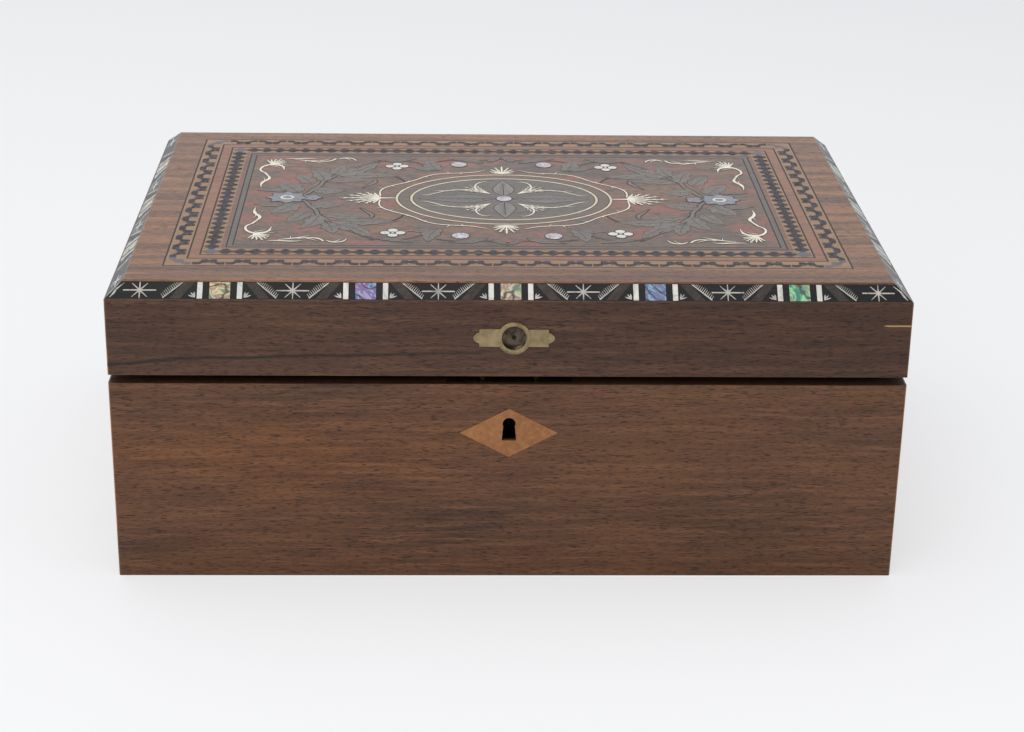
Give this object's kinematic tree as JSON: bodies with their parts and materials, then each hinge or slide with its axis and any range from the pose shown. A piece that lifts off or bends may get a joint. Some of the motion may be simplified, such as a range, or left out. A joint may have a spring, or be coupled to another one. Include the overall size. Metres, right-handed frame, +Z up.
{
  "type": "inlaid wooden box",
  "caption": "Rectangular hinged-lid table box with veneered sides, shell-inlaid sloping lid edges, a marquetry lid top, a keyhole with its lock, and a small metal plate on the lid front.",
  "frame": {"origin": "centre of the underside", "axes": "+X along the front to the viewer's right, +Y to the back, +Z up; the keyhole side faces -Y"},
  "size_m": [0.356, 0.2521, 0.142],
  "materials": {
    "rosewood": "satin",
    "carcass_wood": "bare",
    "ebony": "polished",
    "boxwood": "polished",
    "tulipwood": "polished",
    "kingwood": "polished",
    "panel_wood": "polished",
    "grey_wood": "polished",
    "pearl": "polished",
    "abalone": "polished",
    "brass": "aged",
    "steel": "worn",
    "iron": "dark"
  },
  "bodies": {
    "base": {"bottom_board": "carcass_wood", "base_front_board": "carcass_wood", "base_back_board": "carcass_wood", "base_left_board": "carcass_wood", "base_right_board": "carcass_wood", "base_front_veneer": "rosewood", "base_back_veneer": "rosewood", "base_left_veneer": "rosewood", "base_right_veneer": "rosewood", "keyhole_diamond": "boxwood", "lock_plate": "brass", "lock_cap": "brass", "lock_drill_pin": "steel", "base_screws": "brass", "left_hinge_lower_leaf": "brass", "right_hinge_lower_leaf": "brass", "hinge_pins": "steel"},
    "lid": {"abalone_edge_tiles": "abalone", "abalone_flowers": "abalone", "abalone_ovals": "abalone", "back_edge_strip": "ebony", "border_veneers": "rosewood", "centre_panel": "panel_wood", "edge_diagonals": "grey_wood", "front_edge_strip": "ebony", "inner_banding": "boxwood", "kingwood_line": "kingwood", "left_edge_strip": "ebony", "left_hinge_upper_leaf": "brass", "lid_back_rail": "carcass_wood", "lid_back_veneer": "rosewood", "lid_front_rail": "carcass_wood", "lid_front_veneer": "rosewood", "lid_left_rail": "carcass_wood", "lid_left_veneer": "rosewood", "lid_plate": "brass", "lid_plate_pin": "iron", "lid_right_rail": "carcass_wood", "lid_right_veneer": "rosewood", "lid_screws": "brass", "lid_top_board": "carcass_wood", "outer_banding": "boxwood", "oval_band": "ebony", "oval_ground": "ebony", "oval_leaves": "grey_wood", "oval_strings": "boxwood", "panel_frame": "grey_wood", "pearl_edge_bars": "pearl", "pearl_flowers": "pearl", "pearl_rings": "pearl", "right_edge_strip": "ebony", "right_hinge_upper_leaf": "brass", "scroll_foliage": "ebony", "strike_plate": "brass", "string_lines": "ebony", "tulipwood_band": "tulipwood"},
    "lock_bolt": {"lock_bolt": "brass", "lock_spring": "steel"}
  },
  "joints": [
    {"name": "lid_hinge", "type": "hinge", "parent": "base", "child": "lid", "pos_m": [0, 0.125, 0.09615], "axis": [-1, 0, 0], "range_deg": [-0.85, 99.15]},
    {"name": "lock_bolt_slide", "type": "slide", "parent": "base", "child": "lock_bolt", "axis": [1, 0, 0], "range_m": [0, 0.004]}
  ]
}
